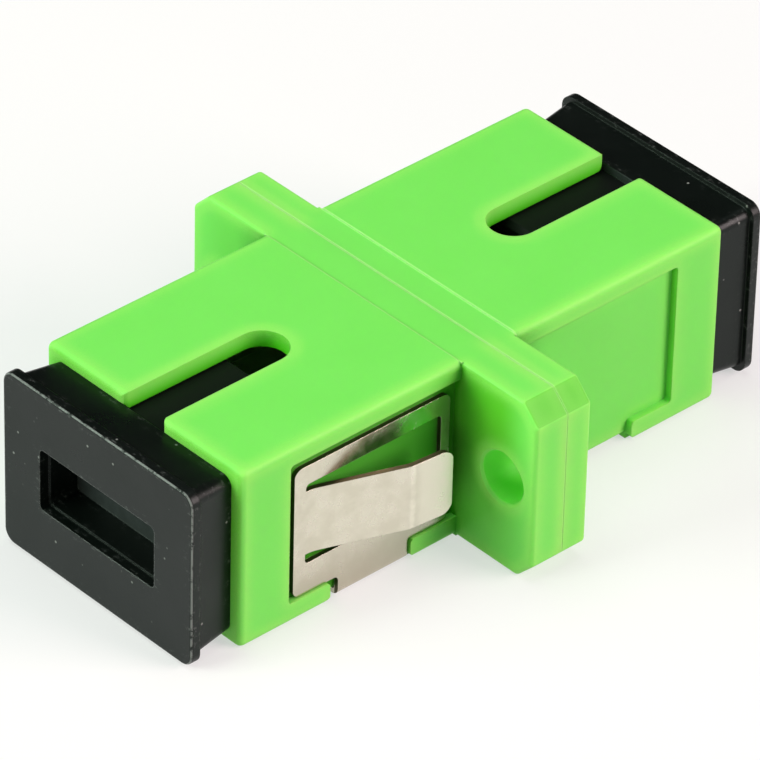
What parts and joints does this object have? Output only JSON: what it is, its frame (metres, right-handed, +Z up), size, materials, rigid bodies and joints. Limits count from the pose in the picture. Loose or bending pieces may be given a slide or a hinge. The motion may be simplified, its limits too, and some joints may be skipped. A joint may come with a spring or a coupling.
{
  "type": "fibre optic adapter",
  "caption": "Flanged green adapter that joins push-pull fibre connectors end to end, with a sprung panel clip and black dust caps.",
  "frame": {"origin": "on the fibre axis, in the middle plane of the flange, which is the centre of the bounding box", "axes": "+X across the flange towards one screw ear, +Y along the fibre from the near port (the one with the clip) to the far port, +Z up towards the key slots"},
  "size_m": [0.022, 0.033, 0.0092],
  "materials": {
    "green_plastic": "satin, slightly translucent",
    "black_plastic": "satin, scuffed edges",
    "clip_steel": "rolled, bright",
    "holder_plastic": "matt, ivory",
    "sleeve_ceramic": "polished"
  },
  "bodies": {
    "adapter": {"housing_near": "green_plastic", "housing_far": "green_plastic", "latch_holder_near": "holder_plastic", "latch_holder_far": "holder_plastic", "split_sleeve": "sleeve_ceramic", "panel_clip": "clip_steel"},
    "near_cap": {"dust_cap_near": "black_plastic"},
    "far_cap": {"dust_cap_far": "black_plastic"}
  },
  "joints": [
    {"name": "near_cap_pull", "type": "slide", "parent": "adapter", "child": "near_cap", "axis": [0, -1, 0], "range_m": [0, 0.012]},
    {"name": "far_cap_pull", "type": "slide", "parent": "adapter", "child": "far_cap", "axis": [0, 1, 0], "range_m": [0, 0.012]}
  ]
}
